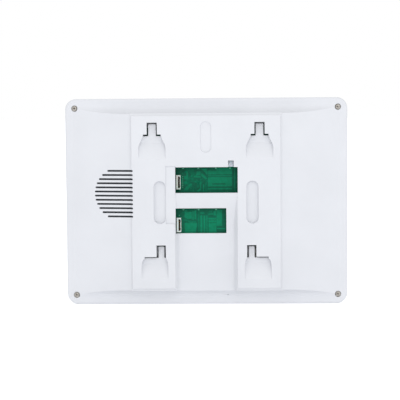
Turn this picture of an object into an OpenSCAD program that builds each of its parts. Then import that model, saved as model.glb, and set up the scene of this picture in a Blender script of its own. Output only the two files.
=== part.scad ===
/* [Body] */
// Width of the monitor across its front
body_w = 262; // [258:1:266]
// Height of the monitor
body_h = 192; // [190:1:196]
// Depth from the wall face to the front face
body_d = 25; // [25:0.25:26]
// Radius of the four outline corners
corner_r = 10; // [8:0.5:12]
// Thickness of the moulded walls
wall = 2.2; // [2:0.1:2.4]

/* [Rear platform] */
// Width of the raised platform that meets the wall bracket
plat_w = 137.8; // [136:0.2:139]
// Height of the raised platform
plat_h = 160; // [159:0.5:161]
// Height of the platform above the slopes round it
step_h = 2.5; // [2:0.1:3]
// Depth of the flat rim below the platform face
rim_drop = 13; // [12.5:0.1:13.2]
// Width of the flat rim at the left and right edges
rim_side = 7; // [6:0.5:9]
// Width of the flat rim at the top and bottom edges
rim_band = 5; // [4:0.5:7]

/* [Cable channel and windows] */
// Width of the cable channel at the platform face
channel_w = 58; // [57:0.5:58.5]
// Width of the cable channel's floor
channel_floor_w = 50; // [48:0.5:52]
// Depth of the cable channel
channel_d = 7; // [6:0.2:7.2]
// Height over which the channel's floor ramps down from the upper window
channel_ramp = 30; // [24:1:34]
// Height of the channel's upper end, where the upper window starts
channel_top_z = 8.8; // [8:0.2:9.4]
// Upper window: left, right, bottom and top edges
window_1 = [-29.3, 28.4, 8.8, 32.5]; // [-30:0.1:40]
// Lower window: left, right, bottom and top edges
window_2 = [-18.5, 28.4, -29.2, -5.7]; // [-30:0.1:40]
// Notch for the slide switch: left, right, bottom and top edges
switch_notch = [-25.6, -20.6, 31, 38.5]; // [-30:0.1:40]
// Shelf beside the upper window: left, right, bottom and top edges
shelf = [28, 37.35, -19.75, 33.7]; // [-20:0.05:38]
// Depth of the shelf
shelf_d = 1.2; // [0.8:0.1:1.5]

/* [Hook slots] */
// Distance of the upper hooks from the centre line
hook_up_x = 49.6; // [49:0.1:50]
// Distance of the lower hooks from the centre line
hook_low_x = 41.9; // [41.5:0.1:42.5]
// Width of the narrow part of an upper hook slot
slot_w = 9.3; // [8.8:0.1:9.6]
// Width of the narrow part of a lower hook slot
low_slot_w = 8.6; // [8.4:0.1:9]
// Depth of the pockets' floor below the platform face
pocket_d = 4.4; // [4.2:0.1:5]
// Thickness of the pockets' walls
pocket_wall = 1.6; // [1.4:0.1:1.8]
// Gap between an upper tongue and the sides of its slot
tongue_gap = 1; // [0.8:0.1:1.5]
// Gap between a lower tongue and the sides of its slot
low_tongue_gap = 1.6; // [1.2:0.1:1.8]

/* [Grooves] */
// Distance of the oval grooves from the centre line
oval_x = 42.8; // [42.4:0.1:43]
// Width of the oval grooves
oval_w = 11; // [10:0.5:11.4]
// Length of the oval grooves
oval_h = 39.5; // [38:0.5:40]
// Depth of the oval grooves
oval_d = 2.8; // [1.5:0.1:3]
// Width of the shallow groove above the windows
centre_groove_w = 10; // [9:0.5:11]
// Depth of the shallow groove above the windows
centre_groove_d = 0.9; // [0.6:0.1:1.2]

/* [Speaker grille] */
// Distance of the grille's centre from the centre line
grille_x = 79.1; // [78.5:0.1:80]
// Height of the grille's centre
grille_z = 8.2; // [7:0.1:9]
// Radius of the circle that the slots fill
grille_r = 24.6; // [23:0.5:25]
// Number of slots
grille_count = 12; // [10:1:12]
// Distance from slot to slot
grille_pitch = 3.85; // [3.7:0.05:4]
// Width of one slot
grille_slot = 1.7; // [1.4:0.1:2]

/* [Front] */
// Width of the lens over the display
lens_w = 246; // [244:1:248]
// Height of the lens over the display
lens_h = 158; // [156:1:159]
// Height of the lens's centre
lens_z = 11.5; // [11:0.5:12]
// Width of the display module
lcd_w = 235; // [234:0.5:236]
// Height of the display module
lcd_h = 143; // [142:0.5:144]
// Height of the display's centre
lcd_z = 9.5; // [9:0.5:10]
// Width of the picture area
active_w = 222.7; // [220:0.1:223]
// Height of the picture area
active_h = 125.3; // [124:0.1:126]
// Distance from key to key
key_pitch = 22; // [21:0.5:23]
// Height of the row of keys
key_z = -82; // [-83:0.5:-81]
// Width and height of one key cap
key_size = [14, 6]; // [5:0.5:15]
// Travel of a key
key_travel = 0.4; // [0.3:0.05:0.5]

/* [Hidden] */
$fn = 64;

white = "#ebedf0";
steel = "#b9bcc0";
board_green = "#0e6b4c";
eps = 0.01;

// Levels along Y: the wall face is 0 and the front face is -body_d
rim_y = -rim_drop;
split_y = -rim_drop - 3.5;
plate_y = -body_d + 2.6;
slope_y = -step_h;
board_top = -12;
board_t = 1.6;
board_low = board_top - board_t;
lcd_back = plate_y + 4.6;
key_board_top = plate_y + 6.8;
key_board_low = key_board_top - 1.2;
boss_low = split_y + 0.1;
switch_low = key_board_low - 3.4;
plunger_low = switch_low - 0.7;
plunger_top = switch_low + 1;

// The slopes run from the platform's foot out to the flat rim
slope_in_x = plat_w / 2 + 0.6;
slope_in_z = plat_h / 2 + 2;
slope_out_x = body_w / 2 - rim_side;
slope_out_z = body_h / 2 - rim_band;
slope_run = slope_out_x - slope_in_x;
slope_drop = rim_drop - step_h;
slope_angle = atan(slope_drop / slope_run);
function side_slope_y(x) = slope_y - (x - slope_in_x) * slope_drop / slope_run;

// Flat land between the channel's ramp and the upper window, and the fillet along its floor
channel_land = 0.3;
channel_fillet = 4;

// Corner screws: places, head, shank, and the sunk seat in the cover's rim
cover_screw_x = body_w / 2 - 8.8;
cover_screw_z = body_h / 2 - 8.8;
screw_head_r = 2.65;
screw_head_h = 1.9;
screw_r = 1.3;
screw_clear = 0.02;
screw_seat_r = 2.85;
screw_seat_d = 1.2;
screw_boss_r = 4;
bracket_boss_r = 3;
key_boss_r = 2.3;

// Heights of the hook pockets: lower edge, end of the ramp, and shoulder
bag_up_z = [39.1, 55, 61.4];
bag_low_z = [-72.3, -57, -51.6];
slot_up_top = 73.8;
slot_low_top = -39.8;
tongue_top_gap = 1.3;
tongue_r = 0.9;
shoulder_w = 16.4;
shoulder_h = 1.6;
low_shoulder_h = 1.1;
low_shoulder_x = 57.4;

// The front shell's side walls, and the lip that centres the rear cover
shell_side = 2.5;
lip_gap = 0.15;
lip_t = 1.15;
lip_h = 1.1;

// Centre height and length of the shallow groove, and the reset pin's hole
centre_groove_z = 60.25;
centre_groove_h = 28.5;
reset_hole = [-19.6, -87.4];
reset_hole_r = 0.4;

board_box = [-67, 56, -42, 69];
board_screws_at = [[-63.4, -34], [52, -26], [-20, 64], [20, 64]];
key_x = [for (i = [-2:2]) i * key_pitch];
key_board_screws_at = [[-60, key_z], [-11, key_z], [11, key_z], [60, key_z]];
key_corner_r = 2;
plunger_r = 1.6;
bracket_x = 123;
bracket_z = [lcd_z - 42, lcd_z + 42];
mic_x = 72;
led_x = -72;

// Wire-to-board headers: size, pin pitch and count, and the places of the two that show
header_w = 4;
header_l = 13.2;
header_h = 5.6;
pin_pitch = 2;
pin_count = 6;
pin_inset = 0.5;
header_slot = [1.8, 10.9];
door_at = [25.75, 18.35];
power_at = [25.55, -21.4];

// Slide switch: its can's place, width and length, the lever's height at rest, the level of the
// can's top, and the height of the shutter that slides under the can's slot
switch_x = -23.1;
switch_z = 36.8;
can_w = 6.4;
can_l = 8.2;
can_t = 0.4;
lever_z = switch_z + 0.65;
can_top = board_top + 4;
shutter_h = 5.6;

// Speaker: radius of its frame and seat, and the three screws on a circle round it
speaker_r = 24.8;
speaker_screw_ring = speaker_r + 3.1;
speaker_screw_angles = [90, 210, 330];

/* ---- helpers ---- */

// Extrudes an X-Z outline from depth y0 to depth y1
module slab(y0, y1) {
    translate([0, y1, 0]) rotate([90, 0, 0]) linear_extrude(y1 - y0) children();
}

// Extrudes a Y-Z outline from x0 to x1
module slab_x(x0, x1) {
    translate([x0, 0, 0]) rotate([90, 0, 90]) linear_extrude(x1 - x0) children();
}

// A rod along Y from y0 to y1
module rod(x, z, r, y0, y1) {
    translate([x, y1, z]) rotate([90, 0, 0]) cylinder(r = r, h = y1 - y0);
}

module rounded_rect(w, h, r) {
    square([w - 2 * r, h], center = true);
    square([w, h - 2 * r], center = true);
    for (x = [-1, 1], z = [-1, 1])
        translate([x * (w / 2 - r), z * (h / 2 - r)]) circle(r);
}

// A rectangle given by its left, right, bottom and top edges, grown by g
module edges_rect(e, g = 0) {
    translate([e[0] - g, e[2] - g]) square([e[1] - e[0] + 2 * g, e[3] - e[2] + 2 * g]);
}

module edges_box(e, y0, y1) {
    translate([e[0], y0, e[2]]) cube([e[1] - e[0], y1 - y0, e[3] - e[2]]);
}

module stadium(w, h) {
    square([w, h - w], center = true);
    for (z = [-1, 1]) translate([0, z * (h - w) / 2]) circle(w / 2);
}

// A block given by its centre in X and Z, its size in X and Z, and two depths
module block(x, z, w, h, y0, y1) {
    translate([x - w / 2, y0, z - h / 2]) cube([w, y1 - y0, h]);
}

// A pan-head screw along Y, head towards +Y, with a cross recess
module pan_screw(x, z, head_r, head_h, seat_y, shank_r, shank_h) {
    difference() {
        union() {
            rod(x, z, head_r, seat_y, seat_y + head_h * 0.55);
            translate([x, seat_y + head_h * 0.55, z]) rotate([-90, 0, 0])
                cylinder(r1 = head_r, r2 = head_r * 0.62, h = head_h * 0.45);
            rod(x, z, shank_r, seat_y - shank_h, seat_y);
        }
        for (a = [0, 90])
            translate([x, seat_y + head_h, z]) rotate([0, a, 0])
                cube([head_r * 1.15, head_h * 1.1, head_r * 0.24], center = true);
    }
}

// A wire along a list of points
module wire(points, r) {
    for (i = [0:len(points) - 2]) {
        d = points[i + 1] - points[i];
        translate(points[i])
            rotate([0, acos(d[2] / norm(d)), atan2(d[1], d[0])])
                cylinder(r = r, h = norm(d));
    }
    for (i = [1:len(points) - 2]) translate(points[i]) sphere(r * 1.1);
}

/* ---- rear cover ---- */

// Outline in Y-Z of the slopes with their top and bottom bands: a hollow curve from foot to rim
function band_curve(side, inset) = [
    for (i = [0:6]) let (t = side > 0 ? 90 - i * 15 : i * 15) [
        slope_y - inset - (slope_drop + eps) * sin(t),
        side * (slope_in_z - 0.7 * inset + (slope_out_z - slope_in_z) * (1 - cos(t)))
    ]
];

// The cover's solid form; inset moves the whole skin inwards by one wall
module cover_form(inset) {
    side = inset * 0.25;
    foot_y = -step_h - inset - 1;
    slab(split_y - (inset > 0 ? 1 : 0), rim_y - inset)
        rounded_rect(body_w - 2 * inset, body_h - 2 * inset, corner_r - inset);
    intersection() {
        linear_extrude(body_h, center = true) polygon([
            [-slope_out_x, rim_y - inset - eps], [slope_out_x, rim_y - inset - eps],
            [slope_in_x - side, slope_y - inset], [-slope_in_x + side, slope_y - inset]
        ]);
        slab_x(-slope_out_x, slope_out_x) polygon(concat(band_curve(1, inset), band_curve(-1, inset)));
    }
    intersection() {
        linear_extrude(body_h, center = true) polygon([
            [-slope_in_x + inset, foot_y], [slope_in_x - inset, foot_y],
            [plat_w / 2 - inset, -inset], [-plat_w / 2 + inset, -inset]
        ]);
        slab_x(-body_w / 2, body_w / 2) polygon([
            [foot_y, -slope_in_z + inset], [-inset, -plat_h / 2 + inset],
            [-inset, plat_h / 2 - inset], [foot_y, slope_in_z - inset]
        ]);
    }
}

// Outline of an upper hook's entry pocket, grown by g
module bag_up(g) {
    polygon([
        [-8.3 - g, bag_up_z[2]], [-9.9 - g, 57.5], [-11.9 - g, 53.5], [-12.5 - g, 50],
        [-12.3 - g, bag_up_z[0] - g], [12.3 + g, bag_up_z[0] - g],
        [12.5 + g, 50], [11.9 + g, 53.5], [9.9 + g, 57.5], [8.3 + g, bag_up_z[2]]
    ]);
}

// Outline of a lower hook's entry pocket, grown by g, for the +X side
module bag_low(g) {
    polygon([
        [37.6 - g, bag_low_z[2]], [36.2 - g, -54.5], [35.5 - g, -59], [35.7 - g, bag_low_z[0] - g],
        [60 + g, bag_low_z[0] - g], [60.1 + g, -59], [59.3 + g, -54.5], [low_shoulder_x + g, bag_low_z[2]]
    ]);
}

// Limits a pocket to the space above its ramp: flat at depth d up to the shoulder z[2], rising from
// z[1] to y_low at the lower edge z[0]
module ramp(z, g, d, y_low) {
    slab_x(-body_w / 2, body_w / 2)
        polygon([[1, z[0] - g], [y_low, z[0] - g], [-d, z[1]], [-d, z[2]], [1, z[2]]]);
}

module pocket_up(g, d, low) {
    intersection() {
        slab(-d, 1) bag_up(g);
        ramp(bag_up_z, g, d, low);
    }
}

module pocket_low(g, d, low) {
    intersection() {
        slab(-d, 1) bag_low(g);
        ramp(bag_low_z, g, d, low);
    }
}

module hook_slot_up() {
    shoulder_z = bag_up_z[2] - 0.1;
    slab(-wall - 0.5, 1) {
        translate([-slot_w / 2, shoulder_z]) square([slot_w, slot_up_top - shoulder_z]);
        translate([-shoulder_w / 2, shoulder_z]) square([shoulder_w, shoulder_h]);
    }
    pocket_up(0, pocket_d, 0.3);
}

module hook_slot_low() {
    shoulder_z = bag_low_z[2] - 0.1;
    slab(-wall - 0.5, 1) {
        translate([hook_low_x - low_slot_w / 2, shoulder_z])
            square([low_slot_w, slot_low_top - shoulder_z]);
        translate([hook_low_x, shoulder_z]) square([low_shoulder_x - hook_low_x, low_shoulder_h]);
    }
    pocket_low(0, pocket_d, 0.3);
}

// A tongue of width w that runs up from the pocket's shoulder behind a slot that ends at top
module tongue(x, w, shoulder_z, top) {
    low = shoulder_z - 2 * tongue_r;
    high = top - tongue_top_gap;
    slab(-pocket_d - pocket_wall, -pocket_d) translate([x, (low + high) / 2])
        rounded_rect(w, high - low, tongue_r);
}

// The cups behind the hook slots
module hook_cup_up() {
    pocket_up(pocket_wall, pocket_d + pocket_wall, -wall);
    tongue(0, slot_w - 2 * tongue_gap, bag_up_z[2], slot_up_top);
}

module hook_cup_low() {
    pocket_low(pocket_wall, pocket_d + pocket_wall, -wall);
    tongue(hook_low_x, low_slot_w - 2 * low_tongue_gap, bag_low_z[2], slot_low_top);
}

// Half of the channel's section in X-Y: a fillet from the floor to the drafted wall on side s
function channel_half(s, low, floor_y) =
    let (
        draft = atan2(channel_d, (channel_w - channel_floor_w) / 2),
        centre_x = low - channel_fillet / tan(90 - draft / 2),
        steps = s > 0 ? [0:4] : [4:-1:0]
    ) [
        for (i = steps) let (a = i * draft / 4 - 90)
            [s * (centre_x + channel_fillet * cos(a)), floor_y + channel_fillet * (1 + sin(a))]
    ];

// The cable channel, open at the bottom, with its floor ramping down; g grows it by one wall
module channel(g) {
    top = channel_w / 2 + g;
    low = channel_floor_w / 2 + g;
    floor_y = -channel_d - g;
    face_y = g > 0 ? -wall : 0;
    end_z = channel_top_z - channel_land + g * norm([channel_d, channel_ramp]) / channel_d;
    fall = channel_ramp / channel_d;
    intersection() {
        translate([0, 0, -body_h]) linear_extrude(2 * body_h) polygon(concat(
            channel_half(1, low, floor_y), [[top, face_y], [top, 1], [-top, 1], [-top, face_y]],
            channel_half(-1, low, floor_y)
        ));
        slab_x(-body_w / 2, body_w / 2) polygon([
            [floor_y, -body_h], [floor_y, end_z + fall * floor_y], [face_y, end_z + fall * face_y],
            [1, end_z + fall * face_y], [1, -body_h]
        ]);
    }
}

// Carries children from a flat frame onto the +X slope's inner face, +Z pointing out of the cover
module at_speaker() {
    translate([grille_x, side_slope_y(grille_x) - wall / cos(slope_angle), grille_z])
        rotate([0, 0, -slope_angle]) rotate([-90, 0, 0]) children();
}

module grille_slots() {
    intersection() {
        slab(-body_d, 1) for (i = [0:grille_count - 1]) {
            z = (grille_count - 1) * grille_pitch / 2 - i * grille_pitch;
            reach = sqrt(grille_r * grille_r - z * z);
            left = plat_w / 2 - 1.2;
            translate([left, grille_z + z - grille_slot / 2])
                square([grille_x + reach - left - grille_slot / 2, grille_slot]);
            translate([grille_x + reach - grille_slot / 2, grille_z + z]) circle(grille_slot / 2);
        }
        at_speaker() translate([0, 0, 2.7]) cube([80, 80, 8], center = true);
    }
}

module speaker_seat() {
    at_speaker() {
        difference() {
            translate([0, 0, -2.4]) cylinder(r = speaker_r + 1.5, h = 3.4);
            translate([0, 0, -3]) cylinder(r = speaker_r + 0.3, h = 5);
        }
        for (a = speaker_screw_angles) rotate(a) translate([speaker_screw_ring, 0, -1.9]) difference() {
            cylinder(r = 2.4, h = 3);
            translate([0, 0, -1]) cylinder(r = 0.92, h = 3.4);
        }
    }
}

module rear_cover() {
    color(white) difference() {
        union() {
            difference() {
                cover_form(0);
                difference() {
                    cover_form(wall);
                    channel(wall);
                    for (s = [0, 1]) mirror([s, 0, 0]) {
                        translate([hook_up_x, 0, 0]) hook_cup_up();
                        hook_cup_low();
                        slab(-oval_d - wall, 0) translate([oval_x, 0]) stadium(oval_w + 3, oval_h + 3);
                    }
                    slab(-shelf_d - wall, 0) edges_rect(shelf, 1);
                }
            }
            intersection() {
                cover_form(0);
                union() {
                    for (p = board_screws_at) rod(p[0], p[1], 3, board_top, -1);
                    for (x = [-1, 1], z = [-1, 1])
                        rod(x * cover_screw_x, z * cover_screw_z, screw_boss_r, boss_low, rim_y);
                    speaker_seat();
                }
            }
        }
        channel(0);
        for (w = [window_1, window_2, switch_notch]) slab(-channel_d - wall - 1, 1) edges_rect(w);
        slab(-shelf_d, 1) edges_rect(shelf);
        for (s = [0, 1]) mirror([s, 0, 0]) {
            translate([hook_up_x, 0, 0]) hook_slot_up();
            hook_slot_low();
            slab(-oval_d, 1) translate([oval_x, 0]) stadium(oval_w, oval_h);
        }
        slab(-centre_groove_d, 1) translate([0, centre_groove_z]) stadium(centre_groove_w, centre_groove_h);
        grille_slots();
        for (p = board_screws_at) rod(p[0], p[1], 1.02, board_top - 1, board_top + 4.2);
        for (x = [-1, 1], z = [-1, 1]) {
            rod(x * cover_screw_x, z * cover_screw_z, screw_r + 0.3, split_y - 1, 1);
            rod(x * cover_screw_x, z * cover_screw_z, screw_seat_r, rim_y - screw_seat_d, 1);
        }
        rod(reset_hole[0], reset_hole[1], reset_hole_r, split_y - 1, 1);
    }
}

/* ---- front shell ---- */

// The outline of the shell's inside, made smaller all round by g
module shell_inside(g) {
    inset = shell_side + g;
    rounded_rect(body_w - 2 * inset, body_h - 2 * inset, corner_r - inset);
}

module key_holes(grow, y0, y1) {
    for (x = key_x) slab(y0, y1) translate([x, key_z])
        rounded_rect(key_size[0] + 2 * grow, key_size[1] + 2 * grow, key_corner_r + grow);
}

module front_shell() {
    color(white) difference() {
        union() {
            difference() {
                slab(-body_d, split_y) rounded_rect(body_w, body_h, corner_r);
                slab(plate_y, split_y + 1) shell_inside(0);
            }
            difference() {
                slab(plate_y - 1, split_y + lip_h) shell_inside(lip_gap);
                slab(plate_y - 2, split_y + 2) shell_inside(lip_gap + lip_t);
            }
            for (x = [-1, 1], z = [-1, 1])
                rod(x * cover_screw_x, z * cover_screw_z, screw_boss_r, plate_y - 1, split_y);
            for (x = [-1, 1], z = bracket_z)
                rod(x * bracket_x, z, bracket_boss_r, plate_y - 1, lcd_back);
            for (p = key_board_screws_at) rod(p[0], p[1], key_boss_r, plate_y - 1, key_board_low);
            rod(mic_x, key_z, 5.4, plate_y - 1, plate_y + 2);
            rod(led_x, key_z, 3, plate_y - 1, plate_y + 1.4);
        }
        slab(-body_d - 1, -body_d + 1.3) translate([0, lens_z])
            rounded_rect(lens_w + 0.3, lens_h + 0.3, 5.15);
        slab(-body_d - 1, plate_y + 1) translate([0, lcd_z])
            square([active_w + 3, active_h + 3], center = true);
        key_holes(0.3, -body_d - 1, plate_y + 1);
        for (x = [-1, 1], z = [-1, 1])
            rod(x * cover_screw_x, z * cover_screw_z, screw_r + screw_clear, plate_y + 0.4, split_y + 1);
        for (x = [-1, 1], z = bracket_z)
            rod(x * bracket_x, z, 1 + screw_clear, plate_y, lcd_back + 1);
        for (p = key_board_screws_at)
            rod(p[0], p[1], 1 + screw_clear, plate_y + 0.4, key_board_low + 1);
        rod(mic_x, key_z, 0.75, -body_d - 1, plate_y + 1);
        rod(mic_x, key_z, 4.1, plate_y, plate_y + 3);
        rod(led_x, key_z, 1.3, -body_d - 1, plate_y + 3);
    }
}

module cover_screws() {
    color(steel) for (x = [-1, 1], z = [-1, 1])
        pan_screw(
            x * cover_screw_x, z * cover_screw_z, screw_head_r, screw_head_h,
            rim_y - screw_seat_d, screw_r, 7);
}

/* ---- display ---- */

module display_lens() {
    color("#101214") slab(-body_d + 0.2, -body_d + 1.1) translate([0, lens_z])
        rounded_rect(lens_w, lens_h, 5);
}

module lens_tape() {
    color("#1b1b1b") slab(-body_d + 1.1, -body_d + 1.3) translate([0, lens_z]) difference() {
        square([lens_w - 4, lens_h - 4], center = true);
        translate([0, lcd_z - lens_z]) square([active_w + 5, active_h + 5], center = true);
    }
}

module lcd_glass() {
    color("#16181c") slab(plate_y, plate_y + 1.2) translate([0, lcd_z])
        square([lcd_w - 1, lcd_h - 1], center = true);
}

module lcd_light_guide() {
    color("#f2f3f0") slab(plate_y + 1.2, plate_y + 4.1) translate([0, lcd_z])
        square([lcd_w - 1.2, lcd_h - 1.2], center = true);
}

module lcd_tray() {
    color("#c4c7ca") difference() {
        slab(plate_y + 1.6, lcd_back) translate([0, lcd_z]) square([lcd_w, lcd_h], center = true);
        slab(plate_y + 1, plate_y + 4.1) translate([0, lcd_z])
            square([lcd_w - 1, lcd_h - 1], center = true);
    }
}

module lcd_brackets() {
    color(steel) for (x = [-1, 1], z = bracket_z) difference() {
        block(x * (bracket_x - 3.5), z, 13, 8, lcd_back, lcd_back + 0.8);
        rod(x * bracket_x, z, 1.3, lcd_back - 1, lcd_back + 2);
    }
}

module bracket_screws() {
    color(steel) for (x = [-1, 1], z = bracket_z)
        pan_screw(x * bracket_x, z, 2, 1.2, lcd_back + 0.8, 1, 4.8);
}

module display_connector() {
    color("#e4dfcf") block(14, -33, 34, 4.5, board_low - 2, board_low);
}

module display_ribbon() {
    color("#b8762a") slab_x(0, 28) polygon([
        [plate_y + 0.7, lcd_z - lcd_h / 2 - 0.1], [plate_y + 0.7, lcd_z - lcd_h / 2 - 2.2],
        [lcd_back + 2.7, lcd_z - lcd_h / 2 - 2.2], [lcd_back + 2.7, -35.3],
        [lcd_back + 2.4, -35.3], [lcd_back + 2.4, lcd_z - lcd_h / 2 - 1.9],
        [plate_y + 1, lcd_z - lcd_h / 2 - 1.9], [plate_y + 1, lcd_z - lcd_h / 2 - 0.1]
    ]);
}

/* ---- main board ---- */

module main_board() {
    color(board_green) difference() {
        edges_box(board_box, board_low, board_top);
        for (p = board_screws_at) rod(p[0], p[1], 1.4, board_low - 1, board_top + 1);
    }
}

module board_screws() {
    color(steel) for (p = board_screws_at)
        translate([0, 2 * board_low, 0]) mirror([0, 1, 0])
            pan_screw(p[0], p[1], 2.2, 1.4, board_low, 1, 5);
}

module pin_row(x, z, w, y0, y1) {
    for (i = [0:pin_count - 1])
        block(x - pin_inset, z + (i - (pin_count - 1) / 2) * pin_pitch, w, w, y0, y1);
}

// A wire-to-board header: an open-topped housing with its two notches towards -X
module header(x, z) {
    color("#e9eae4") difference() {
        block(x, z, header_w, header_l, board_top, board_top + header_h);
        block(x - pin_inset, z, header_slot[0], header_slot[1], board_top + 1.2, board_top + header_h + 1);
        for (i = [-1, 1])
            block(x - header_w / 2, z + i * 3.6, 2.4, 1.6, board_top + 3.6, board_top + header_h + 1);
        pin_row(x, z, 0.52, board_top - 1, board_top + 2);
    }
}

module header_pins(x, z) {
    color("#c9b46a") pin_row(x, z, 0.5, board_top, board_top + 4.8);
}

module door_header() { header(door_at[0], door_at[1]); }
module door_header_pins() { header_pins(door_at[0], door_at[1]); }
module power_header() { header(power_at[0], power_at[1]); }
module power_header_pins() { header_pins(power_at[0], power_at[1]); }

// Slide switch: plastic base, folded steel can with a slot, and a lever with a broad flat knob
module switch_base() {
    color("#2a2a2c")
        block(switch_x, switch_z, can_w - 2 * can_t, can_l - 2 * can_t, board_top, board_top + 2.2);
}

module switch_can() {
    color(steel) difference() {
        block(switch_x, switch_z, can_w, can_l, board_top + 0.3, can_top);
        block(switch_x, switch_z, can_w - 2 * can_t, can_l - 2 * can_t, board_top, can_top - can_t);
        block(switch_x, switch_z - 0.1, 2.3, 4.2, can_top - 1, can_top + 1);
    }
}

module switch_lever() {
    color("#d2d5d8") {
        block(switch_x, lever_z, 1.9, 2.6, board_top + 2.5, can_top + 0.6);
        block(switch_x, lever_z, 4.4, shutter_h, can_top - can_t - 0.5, can_top - can_t - 0.05);
        block(switch_x, lever_z - 1.95, 4.5, 5.8, can_top + 0.5, can_top + 3.6);
    }
}

module processor() {
    color("#232527") block(-22, 22, 14, 14, board_low - 1.4, board_low);
}

module memory_chips() {
    color("#27292b") {
        block(-22, 40, 13, 9, board_low - 1.2, board_low);
        block(-44, 22, 8, 6, board_low - 1.5, board_low);
    }
}

module video_decoder() {
    color("#232527") block(16, 20, 9, 9, board_low - 1.2, board_low);
}

module audio_amplifier() {
    color("#232527") block(44, 44, 5, 6, board_top, board_top + 1.5);
}

module crystal() {
    color(steel) block(-6, 24, 3.2, 5, board_low - 0.9, board_low);
}

module lock_relay() {
    color("#e8e8e4") block(-25.5, 50, 15, 10, board_top, board_top + 7.4);
}

module power_inductor() {
    color("#3a3c3e") difference() {
        block(14, 56.5, 7, 7, board_top, board_top + 4);
        rod(14, 56.5, 2.4, board_top + 3.7, board_top + 5);
    }
}

module capacitors() {
    color("#2b3a55") for (x = [14, 22, 30]) rod(x, 46, 3.15, board_top, board_top + 7.2);
}

// Small chips on the face towards the wall, clear of the windows
module small_parts() {
    color("#3b3430") {
        for (i = [0:5]) block(-56 + i * 3.2, 14, 1.6, 0.8, board_top, board_top + 0.6);
        for (i = [0:4]) block(-52, -8 - i * 2.4, 0.8, 1.6, board_top, board_top + 0.6);
        for (i = [0:3]) block(36 + i * 3, 38, 1.6, 0.8, board_top, board_top + 0.6);
        block(-48, 4, 5, 4, board_top, board_top + 1.4);
    }
}

module key_connectors() {
    color("#efece2") {
        block(-46, -39.2, 12, 4, board_low - 2.3, board_low);
        block(-46, -76, 12, 4, key_board_top, key_board_top + 2.3);
    }
}

module key_ribbon() {
    color("#dcdcd6") block(-46, (-41.2 - 74) / 2, 8, 32.8, key_board_top + 0.8, key_board_top + 1.2);
}

/* ---- speaker ---- */

// A disc of dust cloth, trimmed where the platform's wall stands behind the grille
module grille_cloth() {
    color("#26282b") intersection() {
        at_speaker() translate([0, 0, -0.6]) cylinder(r = speaker_r, h = 0.35);
        translate([plat_w / 2 - 0.5, -body_d, -body_h / 2]) cube([body_w / 4, body_d, body_h]);
    }
}

module speaker_gasket() {
    color("#3b3d40") at_speaker() translate([0, 0, -1.4]) difference() {
        cylinder(r = speaker_r - 0.2, h = 0.8);
        translate([0, 0, -1]) cylinder(r = speaker_r - 2.7, h = 3);
    }
}

module speaker_frame() {
    color("#44474a") at_speaker() difference() {
        union() {
            translate([0, 0, -2.2]) cylinder(r = speaker_r, h = 0.8);
            translate([0, 0, -4.6]) cylinder(r1 = 13, r2 = 21.5, h = 2.6);
        }
        translate([0, 0, -2.1]) cylinder(r = 20.6, h = 2);
        translate([0, 0, -4.2]) cylinder(r1 = 12.6, r2 = 20.6, h = 2.11);
        translate([0, 0, -5]) cylinder(r = 8.1, h = 3);
        for (a = [0:90:270]) rotate(a + 45) translate([16, 0, -3.5]) cube([3, 9, 4], center = true);
    }
}

module speaker_cone() {
    color("#1d1f21") at_speaker() translate([0, 0, -2.05]) rotate_extrude() polygon([
        [0, 0.5], [4, 0.35], [7.5, -1.2], [7.5, -2.2], [7.8, -2.2], [7.8, -1.2],
        [17, 0], [18.6, 0.5], [20.4, 0], [20.4, 0.25], [18.6, 0.75], [17, 0.25],
        [7.6, -0.9], [4, 0.6], [0, 0.75]
    ]);
}

module speaker_magnet() {
    color(steel) at_speaker() translate([0, 0, -6.9]) difference() {
        cylinder(r = 10, h = 2.3);
        translate([0, 0, 1.4]) difference() {
            cylinder(r = 8, h = 2);
            translate([0, 0, -1]) cylinder(r = 7.2, h = 4);
        }
    }
}

module speaker_screws() {
    color(steel) at_speaker() for (a = speaker_screw_angles) rotate(a) translate([speaker_screw_ring, 0, 0]) {
        translate([0, 0, -3.1]) cylinder(r = 3.4, h = 0.5);
        translate([0, 0, -4]) cylinder(r = 1.8, h = 0.9);
        translate([0, 0, -2.7]) cylinder(r = 0.9, h = 2.2);
    }
}

module speaker_socket() {
    color("#efece2") difference() {
        block(50, 28, 6, 4.6, board_top, board_top + 3.6);
        block(50, 28, 4.6, 3.2, board_top + 1, board_top + 5);
    }
}

module speaker_leads() {
    y_run = board_top + 4.6;
    for (i = [-1, 1]) color(i > 0 ? "#b3262a" : "#1c1c1c") wire([
        [50 + i * 1.1, board_top + 2, 28], [50 + i * 1.1, y_run, 28],
        [56 + i * 1.1, y_run, 34], [62 + i * 1.1, y_run, 26], [64 + i * 1.1, y_run + 0.6, 23.6]
    ], 0.5);
}

/* ---- key board ---- */

module key_board() {
    color(board_green) difference() {
        block(0, key_z, 158, 17, key_board_low, key_board_top);
        for (p = key_board_screws_at) rod(p[0], p[1], 1.2, key_board_low - 1, key_board_top + 1);
    }
}

module key_board_screws() {
    color(steel) for (p = key_board_screws_at)
        pan_screw(p[0], p[1], 2, 1.2, key_board_top, 1, 5.4);
}

module key_switches() {
    color("#2a2b2d") for (x = key_x) difference() {
        block(x, key_z, 6, 6, switch_low, key_board_low);
        rod(x, key_z, plunger_r + 0.15, switch_low - 1, plunger_top + key_travel + 0.2);
    }
}

module key_plunger(i) {
    color("#55585b") rod(key_x[i - 1], key_z, plunger_r, plunger_low, plunger_top);
}

module key_plunger_1() { key_plunger(1); }
module key_plunger_2() { key_plunger(2); }
module key_plunger_3() { key_plunger(3); }
module key_plunger_4() { key_plunger(4); }
module key_plunger_5() { key_plunger(5); }

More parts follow.
